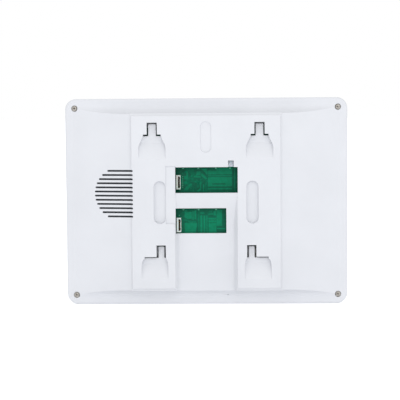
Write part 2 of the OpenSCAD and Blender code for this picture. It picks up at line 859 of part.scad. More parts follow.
// A key cap with a flange that keeps it in the shell, held up by the plunger
module key_cap(i) {
    x = key_x[i - 1];
    flange_y = plate_y + 0.3;
    color("#e4e6e9") {
        slab(-body_d - 0.6, flange_y + 0.1) translate([x, key_z])
            rounded_rect(key_size[0], key_size[1], key_corner_r);
        slab(flange_y, plunger_low) translate([x, key_z])
            rounded_rect(key_size[0] + 2.2, key_size[1] + 2.2, key_corner_r);
    }
}

module key_1() { key_cap(1); }
module key_2() { key_cap(2); }
module key_3() { key_cap(3); }
module key_4() { key_cap(4); }
module key_5() { key_cap(5); }

module microphone() {
    color(steel) rod(mic_x, key_z, 3, plate_y + 0.6, plate_y + 3.3);
}

module microphone_boot() {
    color("#222325") difference() {
        rod(mic_x, key_z, 4, plate_y, plate_y + 3.6);
        rod(mic_x, key_z, 3, plate_y + 0.6, plate_y + 4);
        rod(mic_x, key_z, 0.75, plate_y - 1, plate_y + 2);
    }
}

module status_led() {
    color("#f3f4f2") rod(led_x, key_z, 1.5, key_board_low - 1.6, key_board_low);
}

module light_pipe() {
    color("#dfe6ea") {
        rod(led_x, key_z, 1.25, -body_d, key_board_low - 1.8);
        rod(led_x, key_z, 2.2, plate_y + 1.45, plate_y + 2.4);
    }
}

rear_cover();
front_shell();
cover_screws();
display_lens();
lens_tape();
lcd_glass();
lcd_light_guide();
lcd_tray();
lcd_brackets();
bracket_screws();
main_board();
board_screws();
door_header();
door_header_pins();
power_header();
power_header_pins();
switch_base();
switch_can();
switch_lever();
processor();
memory_chips();
video_decoder();
audio_amplifier();
crystal();
lock_relay();
power_inductor();
capacitors();
small_parts();
display_connector();
display_ribbon();
key_connectors();
key_ribbon();
grille_cloth();
speaker_gasket();
speaker_frame();
speaker_cone();
speaker_magnet();
speaker_screws();
speaker_socket();
speaker_leads();
key_board();
key_board_screws();
key_switches();
key_plunger_1();
key_plunger_2();
key_plunger_3();
key_plunger_4();
key_plunger_5();
key_1();
key_2();
key_3();
key_4();
key_5();
microphone();
microphone_boot();
status_led();
light_pipe();
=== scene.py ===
import math

import bmesh
import bpy
from mathutils import Matrix, Vector
from mathutils.bvhtree import BVHTree


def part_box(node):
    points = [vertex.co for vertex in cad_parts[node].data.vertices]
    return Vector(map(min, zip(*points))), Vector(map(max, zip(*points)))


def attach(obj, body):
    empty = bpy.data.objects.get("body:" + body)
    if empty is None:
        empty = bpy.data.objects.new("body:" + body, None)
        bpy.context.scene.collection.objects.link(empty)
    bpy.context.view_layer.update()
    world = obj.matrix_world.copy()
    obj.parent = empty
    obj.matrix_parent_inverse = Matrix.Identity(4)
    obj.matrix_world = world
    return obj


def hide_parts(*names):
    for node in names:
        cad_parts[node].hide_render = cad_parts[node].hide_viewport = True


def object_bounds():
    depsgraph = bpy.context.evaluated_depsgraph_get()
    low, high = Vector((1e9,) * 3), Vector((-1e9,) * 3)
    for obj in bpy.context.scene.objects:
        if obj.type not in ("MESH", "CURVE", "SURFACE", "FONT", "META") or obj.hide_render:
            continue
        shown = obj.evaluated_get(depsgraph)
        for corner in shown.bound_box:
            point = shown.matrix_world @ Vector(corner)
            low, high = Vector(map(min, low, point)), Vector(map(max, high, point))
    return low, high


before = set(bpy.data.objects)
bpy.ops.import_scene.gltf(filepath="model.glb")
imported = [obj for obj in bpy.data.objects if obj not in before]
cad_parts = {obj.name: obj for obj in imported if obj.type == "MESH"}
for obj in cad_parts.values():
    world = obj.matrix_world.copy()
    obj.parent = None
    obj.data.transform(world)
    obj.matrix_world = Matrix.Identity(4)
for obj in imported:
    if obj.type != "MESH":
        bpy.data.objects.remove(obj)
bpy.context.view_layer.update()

MM = 0.001

# ---------------------------------------------------------------- camera
# A long lens square on to the monitor's back, a little above its middle and turned
# almost two degrees to one side, the way a flat product is photographed.

distance = 1310 * MM
turn, rise, roll = math.radians(1.77), math.radians(4.09), math.radians(-0.45)
aim = Vector((5.59, 0, 2.29)) * MM
back = Vector((-math.sin(turn) * math.cos(rise), math.cos(turn) * math.cos(rise), math.sin(rise)))
right = (-back).cross(Vector((0, 0, 1))).normalized()
up = right.cross(-back).normalized()
camera_right = right * math.cos(roll) + up * math.sin(roll)
camera_up = up * math.cos(roll) - right * math.sin(roll)

camera = bpy.data.objects.new("camera", bpy.data.cameras.new("camera"))
camera.data.lens = 127.8
camera.data.sensor_width = 36
camera.data.clip_start = 0.01
camera.data.clip_end = 50
camera.matrix_world = Matrix.Translation(aim + back * distance) @ Matrix(
    (camera_right, camera_up, back)).transposed().to_4x4()
bpy.context.scene.collection.objects.link(camera)
bpy.context.scene.camera = camera
bpy.context.scene.view_settings.view_transform = "Standard"

# ---------------------------------------------------------------- rear cover
# One injection moulding in white ABS. The outside has a fine spark-eroded texture, and each
# edge has the small radius that the mould's cutter left: wide on the outline, small on slots.


def linear(hex_colour):
    """The linear colour, with alpha 1, of an sRGB hex value."""
    parts = [int(hex_colour[i:i + 2], 16) / 255 for i in (1, 3, 5)]
    return [c / 12.92 if c <= 0.04045 else ((c + 0.055) / 1.055) ** 2.4 for c in parts] + [1.0]


def add_node(tree, kind, inputs=None, **settings):
    """Adds a node. inputs maps a socket's name or number to a value, or to the socket that feeds it."""
    node = tree.nodes.new(kind)
    for key, value in settings.items():
        setattr(node, key, value)
    for key, value in (inputs or {}).items():
        if isinstance(value, bpy.types.NodeSocket):
            tree.links.new(value, node.inputs[key])
        else:
            node.inputs[key].default_value = value
    return node


def new_material(name, colour, roughness, metallic=0.0, ior=1.5, **sockets):
    """A Principled material and its tree, shader and Object coordinates, ready for its patterns."""
    material = bpy.data.materials.new(name)
    material.use_nodes = True
    tree = material.node_tree
    shader = tree.nodes["Principled BSDF"]
    values = {"Base Color": linear(colour), "Roughness": roughness, "Metallic": metallic, "IOR": ior}
    for key, value in {**values, **{k.replace("_", " "): v for k, v in sockets.items()}}.items():
        shader.inputs[key].default_value = value
    place = add_node(tree, "ShaderNodeTexCoord").outputs["Object"]
    return material, tree, shader, place


def mottle(tree, shader, place, colour_a, colour_b, size):
    """Lets the colour wander between two values in patches of the given size."""
    noise = add_node(tree, "ShaderNodeTexNoise", {"Vector": place, "Scale": 1 / size, "Detail": 3.0})
    spread = add_node(tree, "ShaderNodeMapRange", {
        "Value": noise.outputs["Fac"], "From Min": 0.35, "From Max": 0.65})
    mix = add_node(tree, "ShaderNodeMix", {
        "Factor": spread.outputs["Result"], "A": linear(colour_a), "B": linear(colour_b)}, data_type="RGBA")
    tree.links.new(mix.outputs["Result"], shader.inputs["Base Color"])
    return noise


def grain(tree, shader, place, size, height, low, high):
    """A fine surface grain: bumps of the given size and height, and a roughness that follows them."""
    noise = add_node(tree, "ShaderNodeTexNoise", {
        "Vector": place, "Scale": 1 / size, "Detail": 2.0, "Roughness": 0.6})
    bump = add_node(tree, "ShaderNodeBump", {
        "Height": noise.outputs["Fac"], "Strength": 1.0, "Distance": height})
    rough = add_node(tree, "ShaderNodeMapRange", {
        "Value": noise.outputs["Fac"], "From Min": 0.3, "From Max": 0.7, "To Min": low, "To Max": high})
    tree.links.new(bump.outputs["Normal"], shader.inputs["Normal"])
    tree.links.new(rough.outputs["Result"], shader.inputs["Roughness"])


def white_abs(name):
    """Moulded ABS: cool white, satin, with a fine even grain that takes the shine off."""
    material, tree, shader, place = new_material(name, "#cfd1d6", 0.5, ior=1.5)
    mottle(tree, shader, place, "#d0d2d7", "#cdcfd4", 40 * MM)
    # the real grain is about 0.1 mm; it is drawn at 0.7 mm so that it shows close up
    grain(tree, shader, place, 0.7 * MM, 0.01 * MM, 0.46, 0.56)
    return material


housing_white = white_abs("white_spark_textured_abs")


def welded(node, cuts=()):
    """A bmesh of a CAD node with its corners joined and its flat faces merged, except across the cuts,
    which are planes square to x or z. Cuts through the holes keep the merged faces short and simple."""
    mesh = bmesh.new()
    mesh.from_mesh(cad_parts[node].data)
    bmesh.ops.remove_doubles(mesh, verts=mesh.verts, dist=1e-6)
    for axis, at in cuts:
        normal = Vector((axis == "x", 0, axis == "z"))
        cut = bmesh.ops.bisect_plane(
            mesh, geom=mesh.verts[:] + mesh.edges[:] + mesh.faces[:], dist=1e-6,
            plane_co=normal * at, plane_no=normal)
        for part in cut["geom_cut"]:
            if isinstance(part, bmesh.types.BMEdge):
                part.seam = True
    flat_within = math.radians(0.6)
    bmesh.ops.dissolve_limit(
        mesh, angle_limit=flat_within, verts=mesh.verts, edges=mesh.edges,
        use_dissolve_boundaries=False, delimit={"SEAM"})
    bmesh.ops.dissolve_degenerate(mesh, dist=1e-6, edges=mesh.edges)
    return mesh


def radiused(node, name, material, radius_of, widest, segments=3, cuts=()):
    """A copy of a CAD node with rounded edges: radius_of(edge) gives each edge's radius in metres, or 0."""
    mesh = welded(node, cuts)
    mesh.normal_update()
    weights = mesh.edges.layers.float.new("bevel_weight_edge")
    rounded_above = math.radians(16)
    for edge in mesh.edges:
        if len(edge.link_faces) == 2 and edge.calc_face_angle(0) > rounded_above:
            edge[weights] = radius_of(edge) / widest
    data = bpy.data.meshes.new(name)
    mesh.to_mesh(data)
    mesh.free()
    piece = bpy.data.objects.new(name, data)
    bpy.context.scene.collection.objects.link(piece)
    data.materials.append(material)
    bevel = piece.modifiers.new("edge radii", "BEVEL")
    bevel.limit_method = "WEIGHT"
    bevel.width = widest
    bevel.segments = segments
    bevel.use_clamp_overlap = False
    bevel.harden_normals = False
    plain = as_plain_mesh(piece)
    shade(plain, 32)
    return plain


def as_plain_mesh(piece):
    """Applies a piece's modifiers and returns the piece as a plain mesh object."""
    bpy.context.view_layer.update()
    evaluated = piece.evaluated_get(bpy.context.evaluated_depsgraph_get())
    data = bpy.data.meshes.new_from_object(evaluated)
    data.name = piece.name
    piece.modifiers.clear()
    piece.data = data
    return piece


def shade(piece, degrees):
    """Smooth shading with edges sharper than the angle kept crisp, weighted towards the large faces."""
    piece.data.shade_smooth()
    piece.data.set_sharp_from_angle(angle=math.radians(degrees))
    weighted = piece.modifiers.new("weighted normals", "WEIGHTED_NORMAL")
    weighted.keep_sharp = True
    weighted.weight = 60


def stands_for(piece, body, slot, *nodes):
    """Rides a piece on its body, in place of the CAD nodes that it stands for."""
    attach(piece, body)
    if nodes:
        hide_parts(*nodes)


cover_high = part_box("rear_cover")[1]
half_w, half_h = cover_high.x, cover_high.z
platform_x, platform_z = 68.9 * MM, 80 * MM
platform_foot = -3.6 * MM
rim = -13 * MM
outer_radius = 1.7 * MM


def seen_from(tree, point, direction):
    """Whether nothing of the surface lies beyond a point along a direction."""
    return tree.ray_cast(point + direction * 0.05 * MM, direction)[0] is None


def cover_radius():
    """Edge radii of the rear cover, by where an edge lies. Edges inside the case stay sharp."""
    shell = welded("rear_cover")
    rays = BVHTree.FromBMesh(shell)
    outwards = Vector((0, 1, 0))

    def radius_of(edge):
        a, b = edge.verts[0].co, edge.verts[1].co
        middle = (a + b) / 2
        normal = (edge.link_faces[0].normal + edge.link_faces[1].normal).normalized()
        if not seen_from(rays, middle + normal * 0.15 * MM, outwards):
            return 0
        x, y, z = abs(middle.x), middle.y, abs(middle.z)
        turned = edge.calc_face_angle(0)
        on_outline = x > half_w - 0.2 * MM or z > half_h - 0.2 * MM or (
            x > half_w - 10 * MM and z > half_h - 10 * MM
            and math.hypot(x - half_w + 10 * MM, z - half_h + 10 * MM) > 9.8 * MM)
        if on_outline:
            return outer_radius if y > rim - 0.2 * MM else 0.15 * MM if y > rim - 3 * MM else 0
        if y > -0.05 * MM and (x > platform_x - 0.2 * MM or z > platform_z - 0.2 * MM):
            return 0.8 * MM
        in_grille = x > platform_x + 0.2 * MM and abs(middle.z - 8 * MM) < 25 * MM and middle.x > 0
        if in_grille and y > rim:
            return 0.18 * MM if turned > math.radians(40) else 0
        at_foot = platform_foot - 0.6 * MM < y < platform_foot + 1.6 * MM and (
            platform_x - 0.1 * MM < x < platform_x + 1 * MM or platform_z < z < platform_z + 2.4 * MM)
        if at_foot:
            return 0.9 * MM
        # the strip between the window and the channel is 0.3 mm wide, too narrow for a radius
        beside_window = 27.6 * MM < x < 30.4 * MM and -7 * MM < middle.z < 35 * MM
        if beside_window:
            return 0
        if turned < math.radians(40):
            return 0.4 * MM if y < -0.5 * MM else 0.2 * MM
        return 0.3 * MM

    shell.free()
    return radius_of


# x: centre groove, windows, notch, shelf, ovals, hooks, grille and screws; z: hooks, grooves and windows
cover_cuts = [("x", x * MM) for x in (
    0.4, -19.5, -23.1, -33.1, 33.1, -40.3, 40.3, -49.9, 49.9, 79.4, -122.5, 122.5)]
cover_cuts += [("z", z * MM) for z in (76.9, 57.1, 42.1, 20.3, 2.1, -17.3, -35.2, -53.4)]
rear_cover = radiused(
    "rear_cover", "rear_cover_moulding", housing_white, cover_radius(), outer_radius, cuts=cover_cuts)
stands_for(rear_cover, "monitor", "white_housing", "rear_cover")

# ---------------------------------------------------------------- front shell
# The other half of the case, moulded in the same white ABS: a deep tray with the display
# opening, five key holes, a microphone hole and a hole for the light pipe.

shell_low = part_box("front_shell")[0]
front_face = shell_low.y
front_radius = 2.2 * MM


def front_shell_radius():
    """Edge radii of the front shell: wide round the front face, fine at its holes, none inside."""
    shell = welded("front_shell")
    rays = BVHTree.FromBMesh(shell)
    outwards = Vector((0, -1, 0))

    def radius_of(edge):
        middle = (edge.verts[0].co + edge.verts[1].co) / 2
        x, y, z = abs(middle.x), middle.y, abs(middle.z)
        on_outline = x > half_w - 0.2 * MM or z > half_h - 0.2 * MM or (
            x > half_w - 10 * MM and z > half_h - 10 * MM
            and math.hypot(x - half_w + 10 * MM, z - half_h + 10 * MM) > 9.8 * MM)
        if on_outline:
            return front_radius if y < front_face + 0.2 * MM else 0.2 * MM
        normal = (edge.link_faces[0].normal + edge.link_faces[1].normal).normalized()
        if y > front_face + 2 * MM or not seen_from(rays, middle + normal * 0.15 * MM, outwards):
            return 0
        return 0.25 * MM

    shell.free()
    return radius_of


# x: the five keys, the microphone and the light pipe; z: the display opening
front_cuts = [("x", x * MM) for x in (-71.9, -43.6, -21.6, 0.4, 22.4, 44.4, 72.1)] + [("z", 11.9 * MM)]
front_shell = radiused(
    "front_shell", "front_shell_moulding", housing_white, front_shell_radius(), front_radius, 4, front_cuts)
stands_for(front_shell, "monitor", "white_housing", "front_shell")

# ---------------------------------------------------------------- screws
# Pan-head machine screws with a cross recess, cold-formed in steel and plated with zinc. One
# node tree makes every size: a domed head, the recess cut out of it, and a plain shank.


def zinc_plate():
    """Zinc plate: a pale, slightly blue metal with a fine tumbled grain and cloudy patches."""
    material, tree, shader, place = new_material("zinc_plated_steel", "#aaa6a0", 0.42, metallic=1.0)
    mottle(tree, shader, place, "#98938c", "#bcb8b2", 1.4 * MM)
    grain(tree, shader, place, 0.25 * MM, 0.006 * MM, 0.36, 0.52)
    return material


plated_steel = zinc_plate()


def screw_tree():
    """Geometry nodes that put one pan-head screw on every point, with its seat at the point."""
    tree = bpy.data.node_groups.new("pan_head_screws", "GeometryNodeTree")
    face = tree.interface
    face.new_socket("Points", in_out="INPUT", socket_type="NodeSocketGeometry")
    for name in ("Head Radius", "Head Height", "Shank Radius", "Shank Length", "Recess Width", "Turn"):
        face.new_socket(name, in_out="INPUT", socket_type="NodeSocketFloat")
    face.new_socket("Finish", in_out="INPUT", socket_type="NodeSocketMaterial")
    face.new_socket("Screws", in_out="OUTPUT", socket_type="NodeSocketGeometry")
    given = add_node(tree, "NodeGroupInput").outputs
    head = add_node(tree, "GeometryNodeMeshCylinder", {
        "Vertices": 40, "Side Segments": 1, "Fill Segments": 6,
        "Radius": given["Head Radius"], "Depth": given["Head Height"]})
    at = add_node(tree, "ShaderNodeSeparateXYZ", {0: add_node(tree, "GeometryNodeInputPosition").outputs[0]})
    flat = add_node(tree, "ShaderNodeCombineXYZ", {"X": at.outputs["X"], "Y": at.outputs["Y"]})
    reach = add_node(tree, "ShaderNodeVectorMath", {0: flat.outputs[0]}, operation="LENGTH")
    share = add_node(tree, "ShaderNodeMath", {
        0: reach.outputs["Value"], 1: given["Head Radius"]}, operation="DIVIDE")
    curve = add_node(tree, "ShaderNodeMath", {0: share.outputs[0], 1: 3.0}, operation="POWER")
    sink = add_node(tree, "ShaderNodeMath", {
        0: curve.outputs[0], 1: given["Head Height"]}, operation="MULTIPLY")
    drop = add_node(tree, "ShaderNodeMath", {0: sink.outputs[0], 1: -0.55}, operation="MULTIPLY")
    offset = add_node(tree, "ShaderNodeCombineXYZ", {"Z": drop.outputs[0]})
    on_top = add_node(tree, "ShaderNodeMath", {0: at.outputs["Z"], 1: 0.0}, operation="GREATER_THAN")
    dome = add_node(tree, "GeometryNodeSetPosition", {
        "Geometry": head.outputs["Mesh"], "Selection": on_top.outputs[0], "Offset": offset.outputs[0]})
    half = add_node(tree, "ShaderNodeMath", {0: given["Head Height"], 1: 0.5}, operation="MULTIPLY")
    seat = add_node(tree, "ShaderNodeCombineXYZ", {"Z": half.outputs[0]})
    seated = add_node(tree, "GeometryNodeTransform", {
        "Geometry": dome.outputs[0], "Translation": seat.outputs[0]})
    arm = add_node(tree, "ShaderNodeMath", {0: given["Head Radius"], 1: 1.15}, operation="MULTIPLY")
    top = add_node(tree, "ShaderNodeCombineXYZ", {"Z": given["Head Height"]})
    bars = []
    for long_side in ("X", "Y"):
        other = "Y" if long_side == "X" else "X"
        size = add_node(tree, "ShaderNodeCombineXYZ", {
            long_side: arm.outputs[0], other: given["Recess Width"], "Z": given["Head Height"]})
        bar = add_node(tree, "GeometryNodeMeshCube", {"Size": size.outputs[0]})
        bars.append(add_node(tree, "GeometryNodeTransform", {
            "Geometry": bar.outputs["Mesh"], "Translation": top.outputs[0]}))
    cut = add_node(tree, "GeometryNodeMeshBoolean", {"Mesh 1": seated.outputs[0]}, operation="DIFFERENCE")
    for bar in bars:
        tree.links.new(bar.outputs[0], cut.inputs["Mesh 2"])
    shank = add_node(tree, "GeometryNodeMeshCylinder", {
        "Vertices": 24, "Radius": given["Shank Radius"], "Depth": given["Shank Length"]})
    below = add_node(tree, "ShaderNodeMath", {0: given["Shank Length"], 1: -0.5}, operation="MULTIPLY")
    hang = add_node(tree, "ShaderNodeCombineXYZ", {"Z": below.outputs[0]})
    hung = add_node(tree, "GeometryNodeTransform", {
        "Geometry": shank.outputs["Mesh"], "Translation": hang.outputs[0]})
    whole = add_node(tree, "GeometryNodeJoinGeometry")
    tree.links.new(cut.outputs[0], whole.inputs[0])
    tree.links.new(hung.outputs[0], whole.inputs[0])
    angle = add_node(tree, "ShaderNodeCombineXYZ", {"X": given["Turn"]})
    turned = add_node(tree, "GeometryNodeTransform", {
        "Geometry": whole.outputs[0], "Rotation": angle.outputs[0]})
    placed = add_node(tree, "GeometryNodeInstanceOnPoints", {
        "Points": given["Points"], "Instance": turned.outputs[0]})
    real = add_node(tree, "GeometryNodeRealizeInstances", {0: placed.outputs[0]})
    finish = add_node(tree, "GeometryNodeSetMaterial", {
        "Geometry": real.outputs[0], "Material": given["Finish"]})
    add_node(tree, "NodeGroupOutput", {0: finish.outputs[0]})
    return tree


screws = screw_tree()


def set_inputs(modifier, **values):
    """Sets a node tree's named inputs on its modifier, by each socket's identifier."""
    names = {s.name: s.identifier for s in modifier.node_group.interface.items_tree if s.in_out == "INPUT"}
    for name, value in values.items():
        modifier[names[name.replace("_", " ")]] = value


def screw_set(name, node, seats, head_radius, head_height, shank_radius, shank_length, turn=-90):
    """Pan-head screws seated at the given points, standing for a CAD node. Turn -90 faces +Y."""
    data = bpy.data.meshes.new(name)
    data.from_pydata(seats, [], [])
    piece = bpy.data.objects.new(name, data)
    bpy.context.scene.collection.objects.link(piece)
    maker = piece.modifiers.new("screws", "NODES")
    maker.node_group = screws
    set_inputs(
        maker, Head_Radius=head_radius, Head_Height=head_height, Shank_Radius=shank_radius,
        Shank_Length=shank_length, Recess_Width=head_radius * 0.26, Turn=math.radians(turn),
        Finish=plated_steel)
    as_plain_mesh(piece)
    shade(piece, 35)
    stands_for(piece, "monitor", "plated_steel", node)


def islands(node):
    """The boxes of a CAD node's separate solids, as (low, high) corners, in a fixed order."""
    mesh = bmesh.new()
    mesh.from_mesh(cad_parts[node].data)
    bmesh.ops.remove_doubles(mesh, verts=mesh.verts, dist=1e-6)
    left, found = set(mesh.verts), []
    while left:
        group, stack = set(), [left.pop()]
        while stack:
            vertex = stack.pop()
            group.add(vertex)
            for edge in vertex.link_edges:
                other = edge.other_vert(vertex)
                if other in left:
                    left.remove(other)
                    stack.append(other)
        points = [v.co for v in group]
        low = Vector([min(p[i] for p in points) for i in range(3)])
        high = Vector([max(p[i] for p in points) for i in range(3)])
        found.append((low, high))
    mesh.free()
    return sorted(found, key=lambda box: [round(c, 6) for c in box[0]])


def seats_of(node, shank_length, facing=1):
    """Where each screw of a CAD node seats: on its axis, one shank's length from its tip."""
    seats = []
    for low, high in islands(node):
        middle = (low + high) / 2
        depth = low.y + shank_length if facing > 0 else high.y - shank_length
        seats.append((middle.x, depth, middle.z))
    return seats


screw_set("corner_screws", "cover_screws", seats_of("cover_screws", 7 * MM),
          2.65 * MM, 1.9 * MM, 1.3 * MM, 7 * MM)
screw_set("display_bracket_screws", "bracket_screws", seats_of("bracket_screws", 4.8 * MM),
          2 * MM, 1.2 * MM, 1 * MM, 4.8 * MM)
screw_set("main_board_screws", "board_screws", seats_of("board_screws", 5 * MM, -1),
          2.2 * MM, 1.4 * MM, 1 * MM, 5 * MM, turn=90)
screw_set("key_board_fixing_screws", "key_board_screws", seats_of("key_board_screws", 5.4 * MM),
          2 * MM, 1.2 * MM, 1 * MM, 5.4 * MM)

# ---------------------------------------------------------------- main board
# Glass-fibre laminate with copper on its face, under green solder mask. Where copper lies below
# the mask the green is lighter; bare laminate shows darker between the tracks.

board_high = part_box("main_board")[1]
board_face = board_high.y


def solder_mask(name, colour_a, colour_b):
    """Cured solder mask: a thin satin green lacquer with a slight orange-peel ripple."""
    material, tree, shader, place = new_material(name, colour_a, 0.36, ior=1.5, Specular_IOR_Level=0.1)
    mottle(tree, shader, place, colour_a, colour_b, 3 * MM)
    grain(tree, shader, place, 0.9 * MM, 0.006 * MM, 0.3, 0.44)
    return material


mask_on_laminate = solder_mask("solder_mask_on_laminate", "#035740", "#056047")
mask_on_copper = solder_mask("solder_mask_on_copper", "#007250", "#017b59")


for board in ("main_board", "key_board"):
    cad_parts[board].data.materials.clear()
    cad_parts[board].data.materials.append(mask_on_laminate)


def rect(x0, x1, z0, z1):
    """A rectangle's corners, from its edges in millimetres."""
    return [(x0, z0), (x1, z0), (x1, z1), (x0, z1)]


def plates(name, outlines, y_low, y_high, material):
    """Thin flat plates on the board, one mesh, from X-Z outlines in millimetres."""
    mesh = bmesh.new()
    for outline in outlines:
        low = [mesh.verts.new((x * MM, y_low, z * MM)) for x, z in outline]
        high = [mesh.verts.new((x * MM, y_high, z * MM)) for x, z in outline]
        mesh.faces.new(low)
        mesh.faces.new(high[::-1])
        for i in range(len(outline)):
            mesh.faces.new((low[i - 1], low[i], high[i], high[i - 1])[::-1])
    bmesh.ops.recalc_face_normals(mesh, faces=mesh.faces)
    data = bpy.data.meshes.new(name)
    mesh.to_mesh(data)
    mesh.free()
    data.materials.append(material)
    piece = bpy.data.objects.new(name, data)
    bpy.context.scene.collection.objects.link(piece)
    return piece


# copper areas behind the upper window, then the lower one, as X-Z outlines
upper_pours = [
    rect(-24, -9.2, 28.9, 31.6), rect(-24, -1.5, 25.2, 28.8), rect(-24, -1.5, 23.5, 24.4),
    rect(-24, -1.5, 16.9, 22.7), rect(-5.4, -1.5, 15.75, 16.9), rect(-24, -17.8, 15.75, 16.9),
    rect(-24, -1.5, 14, 15.75), rect(-24, -1.5, 11.2, 12.6), rect(-26.9, -26.1, 10, 31),
    rect(16.9, 18.6, 20.5, 28.5), rect(18.6, 20.5, 20.8, 24), rect(17.2, 20.4, 16.6, 18.9),
    [(12.9, 16.8), (15.4, 16.8), (20.2, 12.3), (20.2, 10.6), (17.4, 10.6)],
    rect(5.1, 11.8, 22.4, 24), [(5.2, 28), (8.8, 28), (9.6, 24.8), (5.6, 24.8)],
    [(4.8, 24.4), (4.8, 26), (3.4, 26), (-0.6, 22), (-0.6, 20.8), (1, 20.8)],
    [(4.4, 30.6), (-1, 30.6), (-1, 24.8)], rect(4.8, 5.8, 12, 18.6),
    [(4.8, 12), (5.8, 12), (9.4, 10), (7.4, 9.4), (4.8, 11)], rect(2.1, 3, 9.4, 16),
    rect(12.9, 14.1, 23, 24.6), rect(9.2, 10.8, 17.8, 19.2)]
lower_pours = [
    [(20.5, -19.8), (9, -19.8), (9.4, -24.5), (10.3, -29.4), (20.5, -29.4)],
    [(20.5, -9.6), (13.8, -9.6), (13.8, -16.2), (17.6, -16.2), (20.5, -14.6)],
    rect(12, 13.1, -17.2, -8.4), rect(9.6, 11.4, -16.6, -8.4), rect(3.8, 5.8, -29.4, -13),
    rect(1.1, 2.9, -29.4, -13), rect(-0.9, 0.2, -29.4, -13), rect(-9.2, -1.8, -17, -15.2),
    rect(-9.2, -1.8, -19.6, -17.5), rect(-9.2, -1.8, -29.4, -20), rect(-14.4, -9.4, -22.8, -8),
    rect(-6.2, -1.8, -12.2, -11.2), rect(-5.2, -1.8, -10.1, -9.4), rect(-8.9, -6.6, -13, -8.6),
    rect(-17.4, -9.8, -25.9, -24.9), rect(2, 6, -11.2, -10.2)]
copper_y = board_face + 0.035 * MM
pours = plates("copper_pours", upper_pours + lower_pours, board_face - 0.05 * MM, copper_y, mask_on_copper)
stands_for(pours, "monitor", "board_green")


def track_tree():
    """Geometry nodes that turn drawn lines into flat raised tracks of a given width and height."""
    tree = bpy.data.node_groups.new("copper_tracks", "GeometryNodeTree")
    face = tree.interface
    face.new_socket("Lines", in_out="INPUT", socket_type="NodeSocketGeometry")
    for name in ("Width", "Height"):
        face.new_socket(name, in_out="INPUT", socket_type="NodeSocketFloat")
    face.new_socket("Finish", in_out="INPUT", socket_type="NodeSocketMaterial")
    face.new_socket("Tracks", in_out="OUTPUT", socket_type="NodeSocketGeometry")
    given = add_node(tree, "NodeGroupInput").outputs
    curve = add_node(tree, "GeometryNodeMeshToCurve", {"Mesh": given["Lines"]})
    upright = add_node(tree, "GeometryNodeSetCurveNormal", {"Curve": curve.outputs[0]}, mode="FREE")
    upright.inputs["Normal"].default_value = (0, 1, 0)
    section = add_node(tree, "GeometryNodeCurvePrimitiveQuadrilateral", {
        "Width": given["Height"], "Height": given["Width"]})
    swept = add_node(tree, "GeometryNodeCurveToMesh", {
        "Curve": upright.outputs[0], "Profile Curve": section.outputs[0], "Fill Caps": True})
    real = add_node(tree, "GeometryNodeRealizeInstances", {0: swept.outputs[0]})
    finish = add_node(tree, "GeometryNodeSetMaterial", {
        "Geometry": real.outputs[0], "Material": given["Finish"]})
    add_node(tree, "NodeGroupOutput", {0: finish.outputs[0]})
    return tree


def bundle(start, steps, count, pitch_x, pitch_z):
    """Parallel tracks: each follows the steps from its own start, a pitch away from the last."""
    lines = []
    for i in range(count):
        x, z = start[0] + i * pitch_x, start[1] + i * pitch_z
        line = [(x, z)]
        for dx, dz in steps:
            x, z = x + dx, z + dz
            line.append((x, z))
        lines.append(line)
    return lines


track_lines = (
    bundle((22.6, 15.4), [(-2.4, 0), (-5, 5), (-3, 0)], 3, 0, 1.3)
    + bundle((22.6, 26.6), [(-1.6, 0), (-2.4, 2.4), (0, 2.4)], 3, -1.2, 0.3)
    + bundle((15.6, 30.6), [(0, -3), (-3.6, -3.6)], 4, -1.3, 0)
    + bundle((13.8, 21.2), [(-4, 0), (-2.6, -2.6), (-3.4, 0)], 3, 0, -1.1)
    + bundle((12.2, 9.6), [(0, 4), (3, 3), (0, 3.2)], 3, 1.3, 0)
    + bundle((8.4, 12.8), [(0, 4.4), (-4, 4)], 2, -1.2, 0.4)
    + bundle((0.8, 9.6), [(0, 9), (-1.4, 1.4)], 2, -1.2, 0)
    + bundle((7.6, -7), [(0, -22)], 2, -0.8, 0)
    + bundle((20.5, -17), [(-3, 0), (-1.6, -1.4), (-6, 0)], 2, 0, -0.9)
    + bundle((22.4, -10.4), [(-2.2, 0), (-1.6, 1.8), (-6, 0)], 2, 0.6, 0.8))

line_points, line_edges = [], []
for line in track_lines:
    first = len(line_points)
    line_points += [(x * MM, board_face, z * MM) for x, z in line]
    line_edges += [(first + i, first + i + 1) for i in range(len(line) - 1)]
track_mesh = bpy.data.meshes.new("copper_tracks")
track_mesh.from_pydata(line_points, line_edges, [])
tracks = bpy.data.objects.new("copper_tracks", track_mesh)
bpy.context.scene.collection.objects.link(tracks)
track_maker = tracks.modifiers.new("tracks", "NODES")
track_maker.node_group = track_tree()
set_inputs(track_maker, Width=0.42 * MM, Height=0.08 * MM, Finish=mask_on_copper)
as_plain_mesh(tracks)
stands_for(tracks, "monitor", "board_green")

# pale spots along the top of each window, a painted highlight of light glinting on the board there, and the
# small lands beside the headers' pins, both under a thin film of solder mask
pad_and_highlight_mask = solder_mask("pale_mask_on_lands_and_painted_highlights", "#4f9c7d", "#5da88a")
# painted highlight: these pale spots stand for light glinting along each window's top edge
highlight_spot_x = (21.5, 7.3, -9, -22)
highlight_spot_places = [(x, 31) for x in highlight_spot_x] + [(x, -7.4) for x in highlight_spot_x[:3]]
land_places = [(21.9, 18.3 + 2 * i) for i in (-2.5, -1.5, -0.5, 0.5, 1.5, 2.5)] + [(25.3, -12.9)]
lands_and_highlight_spots = plates(
    "lands_and_painted_highlight_spots", [rect(x - 0.8, x + 0.8, z - 0.6, z + 0.6) for x, z in highlight_spot_places]
    + [rect(x - 0.35, x + 0.35, z - 0.35, z + 0.35) for x, z in land_places],
    board_face, board_face + 0.06 * MM, pad_and_highlight_mask)
stands_for(lands_and_highlight_spots, "monitor", "board_green")

# ---------------------------------------------------------------- headers
# Open-topped nylon headers with six square tinned pins on a 2 mm pitch, soldered to the board.


